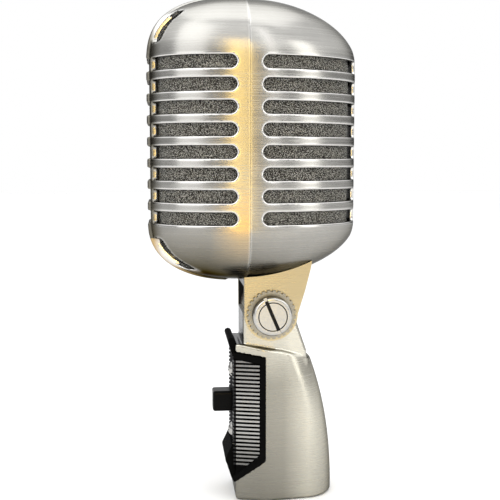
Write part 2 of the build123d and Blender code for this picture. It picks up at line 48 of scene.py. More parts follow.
# ---- camera, floor and light -------------------------------------------------
TARGET = Vector((0.0, -2.5, 94.3)) * MM
TURN, PITCH = math.radians(5.5), math.radians(5.93)
DISTANCE, LENS = 0.335, 63.07
FLOOR_HALF, FLOOR_Z = 3.0, -0.2 * MM


def add_camera():
    """The camera looks at the microphone's side, a little from the front and from above."""
    data = bpy.data.cameras.new("camera")
    data.lens = LENS
    data.sensor_width = 36.0
    data.clip_start = 0.01
    cam = bpy.data.objects.new("camera", data)
    back = Vector((math.cos(PITCH) * math.cos(TURN), -math.cos(PITCH) * math.sin(TURN), math.sin(PITCH)))
    cam.location = TARGET + back * DISTANCE
    cam.rotation_euler = (-back).to_track_quat("-Z", "Y").to_euler()
    SCENE.collection.objects.link(cam)
    SCENE.camera = cam


def add_light(name, place, aim, size, watts, color=(1, 1, 1)):
    """A rectangular soft light at place, facing aim."""
    data = bpy.data.lights.new(name, "AREA")
    data.shape = "RECTANGLE"
    data.size, data.size_y = size
    data.energy = watts
    data.color = color
    lamp = bpy.data.objects.new(name, data)
    lamp.location = place
    lamp.rotation_euler = (Vector(aim) - Vector(place)).to_track_quat("-Z", "Y").to_euler()
    SCENE.collection.objects.link(lamp)


def add_floor():
    """A plain pale floor, a hair below the base so that the two don't share a plane."""
    mesh = bpy.data.meshes.new("floor")
    s, z = FLOOR_HALF, FLOOR_Z
    mesh.from_pydata([(-s, -s, z), (s, -s, z), (s, s, z), (-s, s, z)], [], [(0, 1, 2, 3)])
    floor = bpy.data.objects.new("floor", mesh)
    SCENE.collection.objects.link(floor)
    mat = bpy.data.materials.new("floor")
    mat.use_nodes = True
    shader = mat.node_tree.nodes["Principled BSDF"]
    shader.inputs["Base Color"].default_value = (0.76, 0.76, 0.76, 1)
    shader.inputs["Roughness"].default_value = 0.9
    mesh.materials.append(mat)


def set_world():
    """Soft studio surround: bright above and on the -X side, with a dark ring that the metal mirrors.

    Seen directly, the backdrop is plain white.
    """
    world = bpy.data.worlds.new("studio")
    world.use_nodes = True
    tree = world.node_tree
    place = tree.nodes.new("ShaderNodeTexCoord")
    split = tree.nodes.new("ShaderNodeSeparateXYZ")
    tree.links.new(place.outputs["Generated"], split.inputs[0])

    def mix(share, a, b):
        m = tree.nodes.new("ShaderNodeMix")
        m.data_type = "RGBA"
        for socket, value in (("Factor", share), ("A", a), ("B", b)):
            if isinstance(value, bpy.types.NodeSocket):
                tree.links.new(value, m.inputs[socket])
            else:
                m.inputs[socket].default_value = value
        return m.outputs["Result"]

    def ramp(axis, stops):
        shift = tree.nodes.new("ShaderNodeMapRange")
        shift.inputs["From Min"].default_value = -1
        tree.links.new(split.outputs[axis], shift.inputs["Value"])
        r = tree.nodes.new("ShaderNodeValToRGB")
        r.color_ramp.interpolation = "EASE"
        ends = r.color_ramp.elements
        ends[0].position, ends[0].color = stops[0][0], (*[stops[0][1]] * 3, 1)
        ends[1].position, ends[1].color = stops[-1][0], (*[stops[-1][1]] * 3, 1)
        for pos, level in stops[1:-1]:
            ends.new(pos).color = (level, level, level, 1)
        tree.links.new(shift.outputs[0], r.inputs[0])
        return r.outputs[0]

    dark_ring = [(0.04, 1.0), (0.075, 0.05), (0.17, 0.08)]
    around = ramp(0, dark_ring + [(0.3, 0.5), (0.6, 0.5), (1.0, 0.42)])
    height = ramp(2, [(0.5, 0.0), (0.59, 0.08), (0.78, 1.0), (1.0, 1.0)])
    sky = mix(height, around, (1.45, 1.46, 1.47, 1))
    seen = tree.nodes.new("ShaderNodeLightPath").outputs["Is Camera Ray"]
    tree.links.new(mix(seen, sky, (1, 1, 1, 1)), tree.nodes["Background"].inputs[0])
    SCENE.world = world


add_camera()
add_floor()
set_world()
SCENE.view_settings.view_transform = "Standard"
add_light("key", (0.43, -0.42, 0.45), (0, 0, 0.12), (0.5, 0.86), 2.0)
add_light("strip", (0.56, 0.22, 0.46), (0, 0, 0.12), (0.06, 0.88), 0.45)
add_light("fill", (0.40, 0.48, 0.3), (0, 0, 0.12), (0.18, 0.58), 0.8, (1.0, 0.99, 0.95))
add_light("warm", (0.6, 0.008, 0.24), (0, 0, 0.1), (0.06, 0.52), 0.6, (1.0, 0.68, 0.15))
add_light("top", (-0.1, 0.0, 0.9), (0, 0, 0.1), (0.8, 0.8), 2.5)

# ---- materials ----------------------------------------------------------------


class Nodes:
    """A node material under construction. x, y and z are the object's own coordinates, in metres."""

    def __init__(self, name):
        self.mat = bpy.data.materials.new(name)
        self.mat.use_nodes = True
        self.tree = self.mat.node_tree
        self.shader = self.tree.nodes["Principled BSDF"]
        self.place = self.tree.nodes.new("ShaderNodeTexCoord").outputs["Object"]
        split = self.tree.nodes.new("ShaderNodeSeparateXYZ")
        self.tree.links.new(self.place, split.inputs[0])
        self.x, self.y, self.z = split.outputs

    def set(self, **values):
        """Constants on the shader's own sockets."""
        for key, value in values.items():
            socket = self.shader.inputs[key.replace("_", " ")]
            socket.default_value = value
        return self

    def node(self, kind, **settings):
        n = self.tree.nodes.new(kind)
        for key, value in settings.items():
            if hasattr(n, key):
                setattr(n, key, value)
            else:
                n.inputs[key].default_value = value
        return n

    def link(self, a, b):
        self.tree.links.new(a, b)

    def noise(self, scale, detail=3.0, rough=0.55, stretch=(1, 1, 1)):
        """Noise from 0 to 1. stretch multiplies the coordinates, so a large value makes it finer."""
        mapping = self.node("ShaderNodeMapping")
        mapping.inputs["Scale"].default_value = stretch
        self.link(self.place, mapping.inputs["Vector"])
        n = self.node("ShaderNodeTexNoise")
        n.inputs["Scale"].default_value = scale
        n.inputs["Detail"].default_value = detail
        n.inputs["Roughness"].default_value = rough
        self.link(mapping.outputs[0], n.inputs["Vector"])
        return n.outputs["Fac"]

    def ramp(self, value, stops):
        """A color from (position, color) stops."""
        r = self.node("ShaderNodeValToRGB")
        ends = r.color_ramp.elements
        ends[0].position, ends[0].color = stops[0][0], (*stops[0][1], 1)
        ends[1].position, ends[1].color = stops[-1][0], (*stops[-1][1], 1)
        for pos, col in stops[1:-1]:
            e = r.color_ramp.elements.new(pos)
            e.color = (*col, 1)
        self.link(value, r.inputs[0])
        return r.outputs["Color"]

    def span(self, value, low, high, a=0.0, b=1.0):
        """low where value is at a or under, high where it is at b or over, and a slope between."""
        m = self.node("ShaderNodeMapRange")
        m.inputs["From Min"].default_value, m.inputs["From Max"].default_value = a, b
        m.inputs["To Min"].default_value, m.inputs["To Max"].default_value = low, high
        self.link(value, m.inputs["Value"])
        return m.outputs["Result"]

    def math(self, op, a, b):
        m = self.node("ShaderNodeMath")
        m.operation = op
        for k, v in enumerate((a, b)):
            if isinstance(v, (int, float)):
                m.inputs[k].default_value = v
            else:
                self.link(v, m.inputs[k])
        return m.outputs[0]

    def bump(self, value, strength, distance):
        b = self.node("ShaderNodeBump")
        b.inputs["Strength"].default_value = strength
        b.inputs["Distance"].default_value = distance
        self.link(value, b.inputs["Height"])
        self.link(b.outputs[0], self.shader.inputs["Normal"])

    def mix(self, share, a, b):
        """Color a where share is 0, and b where it is 1."""
        m = self.node("ShaderNodeMix", data_type="RGBA")
        for socket, value in (("Factor", share), ("A", a), ("B", b)):
            if isinstance(value, bpy.types.NodeSocket):
                self.link(value, m.inputs[socket])
            else:
                m.inputs[socket].default_value = value
        return m.outputs["Result"]

    def where(self, *tests):
        """1 where every (socket, "LESS_THAN" or "GREATER_THAN", limit in mm) holds."""
        share = 1.0
        for socket, op, limit in tests:
            share = self.math("MULTIPLY", share, self.math(op, socket, limit * MM))
        return share

    def color(self, socket):
        self.link(socket, self.shader.inputs["Base Color"])

    def rough(self, socket):
        self.link(socket, self.shader.inputs["Roughness"])


FINE_GRAIN = (900, 900, 900)
# warm color painted on the chin as a reflection
WARM_REFLECTION = (0.54, 0.38, 0.18, 1)
# bright color painted on the slot rims and the seam edge as a highlight
RIM_HIGHLIGHT = (0.66, 0.65, 0.63, 1)
# black painted as shade: between the yoke's cheeks, on the tongue's front, in the screw's recesses and
# on the trim's front edge
SHADE_BLACK = (0.006, 0.006, 0.006, 1)


def brushed_metal(
    name,
    light,
    dark,
    low,
    high,
    brush=(25, 25, 2600),
    bump=0.02,
    tone=None,
    shade_color=(0, 0, 0),
    warm_reflection=None,
    polish_and_highlight=False,
    black=None,
):
    """Metal with fine brush lines, between two colors and two roughnesses.

    tone(m) is 1 for the full color and 0 for the dark shade color: painted light and shade. The warm
    function gives the share of the painted warm reflection.
    The rim option paints a highlight on the rims that the mesh marks, brightening them, and makes them
    less rough. black(m) is 1 where black is painted as shade.
    """
    m = Nodes(name).set(Metallic=1.0, Anisotropic=0.35, Specular_Tint=(0.3, 0.3, 0.3, 1))
    fine = m.noise(1.0, 4.0, 0.7, brush)
    cloud = m.noise(55.0, 3.0)
    both = m.math("ADD", m.math("MULTIPLY", fine, 0.6), m.math("MULTIPLY", cloud, 0.4))
    color = m.ramp(both, [(0.3, dark), (0.7, light)])
    rough = m.math("ADD", m.span(fine, low, high, 0.3, 0.7), m.span(cloud, -0.02, 0.05, 0.3, 0.7))
    m.bump(fine, bump, 0.0002)
    # painted light and shade: the color mixed towards a dark shade color
    if tone:
        color = m.mix(tone(m), (*shade_color, 1), color)
    # painted warm reflection
    if warm_reflection:
        color = m.mix(warm_reflection(m), color, WARM_REFLECTION)
    # painted highlight on the marked rims, which are also made less rough
    if polish_and_highlight:
        rim = m.node("ShaderNodeAttribute", attribute_name="rim").outputs["Fac"]
        color = m.mix(rim, color, RIM_HIGHLIGHT)
        rough = m.math("MULTIPLY", rough, m.span(rim, 1.0, 0.45))
    # black painted as shade, not metal
    if black:
        black_shade_share = black(m)
        color = m.mix(black_shade_share, color, SHADE_BLACK)
        m.link(m.math("SUBTRACT", 1.0, black_shade_share), m.shader.inputs["Metallic"])
    m.color(color)
    m.rough(rough)
    return m.mat


def head_painted_shade(m):
    """Painted shade: darker under the chin and on the bars' noses."""
    rise = m.span(m.z, 0.0, 1.0, 0.087, 0.11)
    low = m.span(m.y, 0.0, 0.6, -0.02, 0.012)
    chin = m.math("ADD", low, m.math("MULTIPLY", m.math("SUBTRACT", 1.0, low), rise))
    nose = m.span(m.y, 0.35, 1.0, -0.039, -0.0355)
    return m.math("MULTIPLY", chin, nose)


def head_warm_reflection(m):
    """Painted warm reflection: down the chin in front of the seam, and on the chin's ribs."""
    before_seam = m.where((m.y, "LESS_THAN", -5.0))
    across = m.math("MULTIPLY", m.span(m.y, 0.0, 0.7, -0.019, -0.009), before_seam)
    down = m.math("MULTIPLY", m.span(m.z, 0.0, 1.0, 0.091, 0.103), m.span(m.z, 1.0, 0.0, 0.106, 0.12))
    under = m.where((m.z, "LESS_THAN", 100.0), (m.math("ABSOLUTE", m.x, 0), "LESS_THAN", 16.0))
    ribs = m.math("MULTIPLY", m.span(m.y, 0.8, 0.0, -0.034, -0.02), under)
    return m.math("MAXIMUM", m.math("MULTIPLY", across, down), ribs)


def base_painted_light(m):
    """Painted light and shade: brighter towards the rear barrel, with a painted highlight stripe on it,
    and at the shoulder; darker at the foot.
    """
    back = m.span(m.y, 0.0, 1.0, 0.0, 0.03)
    barrel = m.ramp(back, [(0.0, (0.48,) * 3), (0.3, (0.55,) * 3), (0.62, (1,) * 3), (1, (0.6,) * 3)])
    foot = m.span(m.z, 0.75, 0.95, 0.0, 0.03)
    shoulder = m.span(m.z, 0.0, 0.36, 0.045, 0.06)
    return m.math("ADD", m.math("MULTIPLY", barrel, foot), shoulder)


def yoke_painted_shade(m):
    """Painted shade: a little darker towards the head, under it."""
    return m.span(m.z, 1.0, 0.86, 0.064, 0.08)


def yoke_inside(m):
    """The faces between the two cheeks, painted black as shade."""
    return m.where((m.math("ABSOLUTE", m.x, 0), "LESS_THAN", 11.55))


def tongue_front(m):
    """The front of the tongue, between its side faces and above the trim, painted black as the shade in
    the gap between the yoke's cheeks.
    """
    between = (m.math("ABSOLUTE", m.x, 0), "LESS_THAN", 10.8)
    return m.where(between, (m.z, "GREATER_THAN", 58.6), (m.y, "LESS_THAN", -5.9))


def bar_painted_light(m):
    """The trim's bars: a painted highlight at the middle of their row, and painted shade towards its
    ends.
    """
    row = m.span(m.z, 0.0, 1.0, 0.012, 0.056)
    return m.ramp(row, [(0.0, (0.3,) * 3), (0.35, (1,) * 3), (0.6, (0.9,) * 3), (1, (0.42,) * 3)])


def trim_front(m):
    """Where the trim's bars turn round its front edge, painted black as shade."""
    return m.where((m.y, "LESS_THAN", -8.9))


def screw_recess(m):
    """The slot and the ring groove, which are sunk below the screw's face, painted black as the shade in
    them.
    """
    out = m.math("ABSOLUTE", m.x, 0)
    ry, rz = m.math("SUBTRACT", m.y, PIVOT_Y * MM), m.math("SUBTRACT", m.z, PIVOT_Z * MM)
    r = m.math("SQRT", m.math("ADD", m.math("MULTIPLY", ry, ry), m.math("MULTIPLY", rz, rz)), 0)
    return m.where((out, "GREATER_THAN", 17.0), (out, "LESS_THAN", 19.85), (r, "LESS_THAN", 5.95))


def plain(name, light, dark, low, high, metal=0.0, bump=0.05, ior=1.5):
    """Moulded or turned material with a fine even grain, between two colors and two roughnesses."""
    m = Nodes(name).set(Metallic=metal, IOR=ior)
    grain = m.noise(300.0, 4.0)
    m.color(m.ramp(grain, [(0.35, dark), (0.65, light)]))
    m.rough(m.span(grain, low, high, 0.3, 0.7))
    m.bump(grain, bump, 0.0001)
    return m.mat


def foam_material():
    """Open-cell foam: dark pores, grey cell walls, and painted glints near white on them."""
    m = Nodes("lining_foam").set(Roughness=0.95)
    cells = m.node("ShaderNodeTexVoronoi")
    cells.inputs["Scale"].default_value = 3200.0
    m.link(m.place, cells.inputs["Vector"])
    speck = m.noise(3400.0, 2.0, 0.8)
    dots = m.math("SUBTRACT", 1.0, cells.outputs["Distance"])
    both = m.math("ADD", m.math("MULTIPLY", dots, 0.6), m.math("MULTIPLY", speck, 0.5))
    pores = [(0.45, (0.015, 0.015, 0.015)), (0.57, (0.075, 0.075, 0.07))]
    # the near-white wall color is a painted glint
    walls = [(0.68, (0.38, 0.375, 0.34)), (0.76, (0.95, 0.94, 0.88))]
    m.color(m.ramp(both, pores + walls))
    m.bump(both, 0.9, 0.0006)
    return m.mat


# finishes with an even grain: light color, dark color, lowest and highest roughness, share of metal
EVEN_LOOKS = {
    "polished_nickel": ((0.46, 0.45, 0.43), (0.36, 0.355, 0.34), 0.12, 0.22, 1.0),
    "switch_body": ((0.06, 0.06, 0.065), (0.04, 0.04, 0.045), 0.4, 0.6, 0.0),
    "insulator": ((0.05, 0.05, 0.05), (0.03, 0.03, 0.03), 0.4, 0.6, 0.0),
    "gold_pins": ((0.9, 0.72, 0.36), (0.8, 0.62, 0.3), 0.15, 0.3, 1.0),
    "magnet_steel": ((0.4, 0.4, 0.41), (0.3, 0.3, 0.31), 0.35, 0.5, 1.0),
    "soft_iron": ((0.6, 0.61, 0.63), (0.5, 0.51, 0.53), 0.3, 0.4, 1.0),
    "foil": ((0.92, 0.92, 0.93), (0.85, 0.85, 0.86), 0.15, 0.25, 1.0),
    "clamp_brass": ((0.8, 0.65, 0.35), (0.7, 0.55, 0.28), 0.25, 0.35, 1.0),
    "screw_steel": ((0.7, 0.7, 0.7), (0.6, 0.6, 0.6), 0.25, 0.35, 1.0),
    "bracket_steel": ((0.55, 0.55, 0.57), (0.45, 0.45, 0.47), 0.3, 0.45, 1.0),
    "bush_rubber": ((0.05, 0.05, 0.05), (0.03, 0.03, 0.03), 0.7, 0.85, 0.0),
    "core_iron": ((0.3, 0.28, 0.26), (0.2, 0.19, 0.18), 0.4, 0.6, 0.7),
    "coil_wrap": ((0.55, 0.38, 0.12), (0.45, 0.3, 0.09), 0.5, 0.7, 0.0),
    "lead_red": ((0.5, 0.05, 0.04), (0.4, 0.04, 0.03), 0.4, 0.5, 0.0),
    "washer_fibre": ((0.1, 0.08, 0.07), (0.07, 0.05, 0.04), 0.6, 0.8, 0.0),
}
BLACK, DEEP_BLACK = (0.004, 0.004, 0.004), (0.003, 0.003, 0.003)

MATERIALS = {slot: plain(slot, *look) for slot, look in EVEN_LOOKS.items()}
MATERIALS["lining_foam"] = foam_material()
MATERIALS["black_moulding"] = plain("black_moulding", BLACK, DEEP_BLACK, 0.16, 0.26, bump=0.03, ior=1.12)
MATERIALS["grey_plate"] = plain(
    "grey_plate",
    (0.02, 0.02, 0.021),
    (0.012, 0.012, 0.013),
    0.35,
    0.5,
    ior=1.01,
)
MATERIALS["satin_nickel"] = brushed_metal(
    "satin_nickel",
    (0.41, 0.402, 0.378),
    (0.31, 0.303, 0.286),
    0.19,
    0.29,
    bump=0.012,
    # painted shade under the chin and on the noses, painted warm reflection on the chin, painted
    # highlight on the rims
    tone=head_painted_shade,
    shade_color=(0.06, 0.048, 0.02),
    warm_reflection=head_warm_reflection,
    polish_and_highlight=True,
)

# finishes of single nodes, where one slot's pieces don't all look alike
YOKE = brushed_metal(
    "yoke_nickel",
    (0.52, 0.445, 0.29),
    (0.44, 0.375, 0.24),
    0.24,
    0.34,
    # painted shade towards the head, and black painted as shade between the cheeks
    tone=yoke_painted_shade,
    black=yoke_inside,
)
CASTING = brushed_metal(
    "casting_nickel",
    (0.635, 0.61, 0.525),
    (0.555, 0.53, 0.455),
    0.2,
    0.3,
    # painted light and shade on the base, and black painted as shade on the tongue's front
    tone=base_painted_light,
    black=tongue_front,
)
SCREW = brushed_metal(
    "screw_nickel",
    (0.5, 0.49, 0.46),
    (0.4, 0.39, 0.37),
    0.16,
    0.24,
    FINE_GRAIN,
    # black painted as shade in the slot and the ring groove
    black=screw_recess,
)
BARS = brushed_metal(
    "bar_nickel",
    (0.44, 0.435, 0.42),
    (0.34, 0.335, 0.32),
    0.12,
    0.2,
    FINE_GRAIN,
    # painted highlight and shade along the bars' row, and black painted as shade at the trim's front
    # edge
    tone=bar_painted_light,
    black=trim_front,
)
WASHER = brushed_metal("washer_nickel", (0.38, 0.365, 0.32), (0.24, 0.23, 0.2), 0.3, 0.4, FINE_GRAIN)
TRIM = plain("trim_black", BLACK, DEEP_BLACK, 0.2, 0.3, bump=0.03, ior=1.01)
OWN = {"neck_yoke": YOKE, "trim_frame": TRIM}
for hand in ("_left", "_right"):
    OWN["trim_ribs" + hand] = BARS
    OWN["pivot_screw" + hand] = SCREW
    OWN["lock_washer" + hand] = WASHER
SLOT_OF = {row["node"]: row["material_slot"] for row in frame["record"]["subparts"]}
for node, obj in frame["nodes"].items():
    obj.data.materials.clear()
    obj.data.materials.append(OWN.get(node) or MATERIALS[SLOT_OF[node]])


def soften(node, width):
    """Rounds a CAD piece's edges, which are moulded in the real thing."""
    bevel = frame["nodes"][node].modifiers.new("soften", "BEVEL")
    bevel.width = width * MM
    bevel.segments = 3
    bevel.angle_limit = math.radians(50)
    bevel.harden_normals = False


soften("switch_slider", 0.8)
soften("trim_frame", 0.25)
soften("neck_yoke", 0.35)

# ---- implicit solids of the head, in millimetres ---------------------------------
HEAD_TOP, HEAD_FLOOR, SEAM_Y = 187.5, 84.0, -5.0
HALF_W, SHOULDER_Z, CHIN_Z = 28.0, 162.0, 105.5
FRONT_DEPTH, REAR_DEPTH = 36.0, 42.5    # seam to the outermost point, before the flats
FRONT_FLAT, REAR_FLAT = 35.9, 41.8      # seam to the flats
SLOT_TOP_Z, SLOT_PITCH, SLOT_R = 162.4, 7.77, 2.25
SLOT_ROWS = 8
SLOT_START = 4.6                        # seam to the rounded end of a slot
SLOT_FAR = 90                           # beyond the head, so a slot has one end only
RIB_PITCH, RIB_W = 8.5, 3.6
UPRIGHT_R = 2.2                         # half width of the inner upright slots
CROWN_SLOT_Z, CHIN_SLOT_Z = (172.2, 178.8), (91.2, 98.2)
WINDOW_DEPTH, UPRIGHT_DEPTH = 25, 18    # seam to where the front's windows and upright slots begin
BAND_DEPTH = 34.9                       # seam to the foot of the gaps that part the front bars
CORNER_SLOT_X, CORNER_SLOT_HALF = 13.8, 3.2
LEAD_HOLE_R, LEAD_HOLE_TOP = 3.5, 96
SEAM_POWER_TOP, SEAM_POWER_LOW = 2.3, 2.4    # roundness of the crown and of the chin at the seam
WALL = 2.0
SEAM_OVERRUN = 0.7                      # built past the seam, then cut back square


def both_inside(a, b, e):
    """Where two solids overlap, its edge rounded by e."""
    return np.minimum(-e, np.maximum(a, b)) + np.hypot(np.maximum(e + a, 0), np.maximum(e + b, 0))


def either(a, b, e):
    """Two solids joined, the inner corner filled by e."""
    return -both_inside(-a, -b, e)


def level(x, y, z, front):
    """Field of the head's outer surface: 0 on it, negative inside."""
    depth = np.abs(y - SEAM_Y)
    t = depth / (FRONT_DEPTH if front else REAR_DEPTH)
    up = np.maximum(z - SHOULDER_Z, 0) / (HEAD_TOP - SHOULDER_Z)
    down = np.maximum(CHIN_Z - z, 0) / (CHIN_Z - HEAD_FLOOR)
    h = up + down
    mix = np.clip(t / 0.7, 0, 1)
    mix = mix * mix * (3 - 2 * mix)
    top_power, low_power = (2.75, 2.2) if front else (2.0, 1.85)
    crown = SEAM_POWER_TOP + (top_power - SEAM_POWER_TOP) * mix
    chin = SEAM_POWER_LOW + (low_power - SEAM_POWER_LOW) * mix
    c = np.where(up > 0, crown, chin)
    side = np.abs(x) / HALF_W
    b = 2.55 if front else 1.97
    total = side ** (2.5 if front else 2.1) + t**b + h**c
    return np.power(np.maximum(total, 1e-9), 0.42) - 1.0


def to_distance(field, p, step=0.05):
    """A field divided by its slope, which is close to a distance near its surface."""
    f = field(*p)
    slope = 0.0
    for axis in range(3):
        q = list(p)
        q[axis] = p[axis] + step
        r = list(p)
        r[axis] = p[axis] - step
        slope = slope + ((field(*q) - field(*r)) / (2 * step)) ** 2
    return f / np.sqrt(np.maximum(slope, 1e-10))


def stadium(a, b, a0, a1, r):
    """Distance to a slot in a plane: its centre line from a0 to a1 at b = 0."""
    return np.hypot(a - np.clip(a, a0, a1), b) - r


def slot_row_distance(z):
    """Height above the centre line of the nearest horizontal slot."""
    row = np.clip(np.round((SLOT_TOP_Z - z) / SLOT_PITCH), 0, SLOT_ROWS - 1)
    return z - (SLOT_TOP_Z - SLOT_PITCH * row)


def front_openings(x, y, z):
    """Side slots, the windows between the ribs, and the upright slots of the crown and the chin."""
    side, depth = np.abs(x), SEAM_Y - y
    dz = slot_row_distance(z)
    long_slots = both_inside(stadium(depth, dz, SLOT_START + SLOT_R, SLOT_FAR, SLOT_R), 11.6 - side, 1.2)
    window_x = np.abs(side - RIB_PITCH / 2) - 2.1
    windows = both_inside(np.maximum(window_x, WINDOW_DEPTH - depth), np.abs(dz) - SLOT_R, 1.2)
    inner_gap = np.abs(side - RIB_PITCH / 2) - UPRIGHT_R
    outer_gap = np.abs(side - CORNER_SLOT_X) - CORNER_SLOT_HALF
    upright = np.minimum(inner_gap, outer_gap) + UPRIGHT_R
    crown = np.maximum(stadium(z, upright, *CROWN_SLOT_Z, UPRIGHT_R), UPRIGHT_DEPTH - depth)
    chin = np.maximum(stadium(z, upright, *CHIN_SLOT_Z, UPRIGHT_R), UPRIGHT_DEPTH - depth)
    band = np.maximum(np.abs(dz) - SLOT_R, BAND_DEPTH - depth)
    rib_bands = np.maximum(band, side - 12)
    return np.minimum(np.minimum(long_slots, np.minimum(windows, rib_bands)), np.minimum(crown, chin))


def rear_openings(x, y, z):
    """Side slots, stopped by the rear spine."""
    depth = y - SEAM_Y
    dz = slot_row_distance(z)
    return both_inside(stadium(depth, dz, SLOT_START + SLOT_R, SLOT_FAR, SLOT_R), 5.4 - np.abs(x), 1.2)


def lead_hole(x, y, z):
    """The hole in the head's floor, above the yoke."""
    return np.maximum(np.hypot(x, y - PIVOT_Y) - LEAD_HOLE_R, z - LEAD_HOLE_TOP)


def front_shell(x, y, z):
    """The front grille: skin, flat nose, three upright ribs, and every opening."""
    p = (x, y, z)
    skin = to_distance(lambda *q: level(*q, True), p)
    flat = SEAM_Y - FRONT_FLAT - y
    outer = both_inside(skin, flat, 1.5)
    spine = to_distance(lambda a, b, c: level(a * 0, b, c, True), p) + 0.05
    rib_x = np.abs(x - RIB_PITCH * np.clip(np.round(x / RIB_PITCH), -1, 1)) - RIB_W / 2
    ribs = both_inside(rib_x, both_inside(spine, y + 12, 0.6), 1.1)
    outer = either(outer, ribs, 0.5)
    inner = np.maximum(skin + WALL, flat + WALL)
    wall = np.maximum(outer, -inner)
    wall = both_inside(wall, -front_openings(x, y, z), 0.55)
    wall = np.maximum(wall, -lead_hole(x, y, z))
    return np.maximum(wall, y - SEAM_Y - SEAM_OVERRUN)


def rear_shell(x, y, z):
    """The rear grille: skin, flat spine and side slots."""
    p = (x, y, z)
    skin = to_distance(lambda *q: level(*q, False), p)
    flat = y - SEAM_Y - REAR_FLAT
    outer = both_inside(skin, flat, 2.0)
    inner = np.maximum(skin + WALL, flat + WALL)
    wall = np.maximum(outer, -inner)
    wall = both_inside(wall, -rear_openings(x, y, z), 0.55)
    wall = np.maximum(wall, -lead_hole(x, y, z))
    return np.maximum(wall, SEAM_Y - SEAM_OVERRUN - y)


# ---- implicit solid of the base, in millimetres -----------------------------------
BASE_FRONT, FRONT_HALF, SIDE_HALF, SIDE_Y = -9.0, 11.0, 14.0, 2.0
BASE_TOP, BASE_REAR = 61.0, 29.1
BARREL_R, BARREL_TURN = 12.2, math.radians(12)    # rear barrel, and where the flanks leave it
TONGUE_HALF, TONGUE_R = 10.9, 9.0
THREAD_R, INLET_Y, INLET_R = 7.45, 17.4, 9.0


def beyond(a, b, p, q):
    """Distance past the line from p to q, positive to its right."""
    dx, dy = q[0] - p[0], q[1] - p[1]
    return ((a - p[0]) * dy - (b - p[1]) * dx) / math.hypot(dx, dy)


def base_plan(x, y, rear, barrel):
    """Plan of the base: flat front, flared sides, a taper and a round barrel at the rear."""
    side = np.abs(x)
    yc = rear - barrel
    tx, ty = barrel * math.cos(BARREL_TURN), yc + barrel * math.sin(BARREL_TURN)
    dx, dy = tx - SIDE_HALF, ty - SIDE_Y
    flank = ((side - SIDE_HALF) * dy - (y - SIDE_Y) * dx) / np.hypot(dx, dy)
    behind = y - yc > side * math.tan(BARREL_TURN)
    back = np.where(behind, np.hypot(side, y - yc) - barrel, flank)
    flare = beyond(side, y, (FRONT_HALF, BASE_FRONT), (SIDE_HALF, SIDE_Y))
    return both_inside(both_inside(back, flare, 1.0), BASE_FRONT - y, 0.5)


def base_body(x, y, z):
    """Flared housing under a sloped shoulder, with the tongue that stands between the yoke's cheeks."""
    height = np.clip(z, 0, BASE_TOP) / BASE_TOP
    rear = BASE_REAR - 11.7 * height**2.3
    housing = base_plan(x, y, rear, BARREL_R - 0.8 * height) * 0.97
    shoulder = np.interp(y, (-7.5, 8.6, 22), (60.2, 57.3, 52.8))
    housing = both_inside(housing, z - shoulder, 0.9)
    side = np.maximum(beyond(y, z, (18.4, 56.5), (13, PIVOT_Z)), np.maximum(y - 18.4, -6.2 - y))
    arch = np.where(z > PIVOT_Z, np.hypot(y - PIVOT_Y, z - PIVOT_Z) - TONGUE_R, side)
    half_w = TONGUE_HALF - 0.25 * np.maximum(y - 6, 0)
    tongue = both_inside(np.maximum(arch, 48 - z), np.abs(x) - half_w, 1.5)
    return both_inside(either(housing, tongue, 0.8), -z, 1.3)


def base_rooms(x, y, z):
    """Every hollow of the base: stand thread, inlet, switch and lead rooms, pivot bore, trim seat."""

    def shaft(px, py, r, low, high):
        return np.maximum(np.hypot(x - px, y - py) - r, np.maximum(low - z, z - high))

    def room(cy, wide, deep, low, high):
        flat = both_inside(np.abs(x) - wide / 2, np.abs(y - cy) - deep / 2, 2.0)
        return np.maximum(flat, np.maximum(low - z, z - high))

    rooms = [shaft(0, 0, THREAD_R, -1, 13), shaft(0, INLET_Y, INLET_R, -1, 21)]
    rooms.append(shaft(0, PIVOT_Y, 4.0, 48, 88))
    rooms += [room(1.5, 20, 16, 15, 52), room(9, 14, 14, 19, 44)]
    rooms.append(np.hypot(y - PIVOT_Y, z - PIVOT_Z) - 3.3)
    window = both_inside(np.abs(x) - 8, np.abs(z - 34.35) - 10.5, 2.0)
    rooms.append(np.maximum(window, y + 4))
    seat_top = 55.3 + (2 - y) * 3.5 / 22
    seat_foot = np.interp(y, (-9.2, 2), (7.2, 15.6))
    seat = np.maximum(np.maximum(z - seat_top, seat_foot - z), y - 2)
    rooms.append(np.maximum(seat, -1.2 - base_plan(x, y, 29.0, 12.0)))
    return np.minimum.reduce(rooms)


def base_shell(x, y, z):
    """The base casting."""
    return both_inside(base_body(x, y, z), -base_rooms(x, y, z), 0.25)


# ---- surface of an implicit solid --------------------------------------------------
SLAB = 24    # layers of the grid worked out at one time

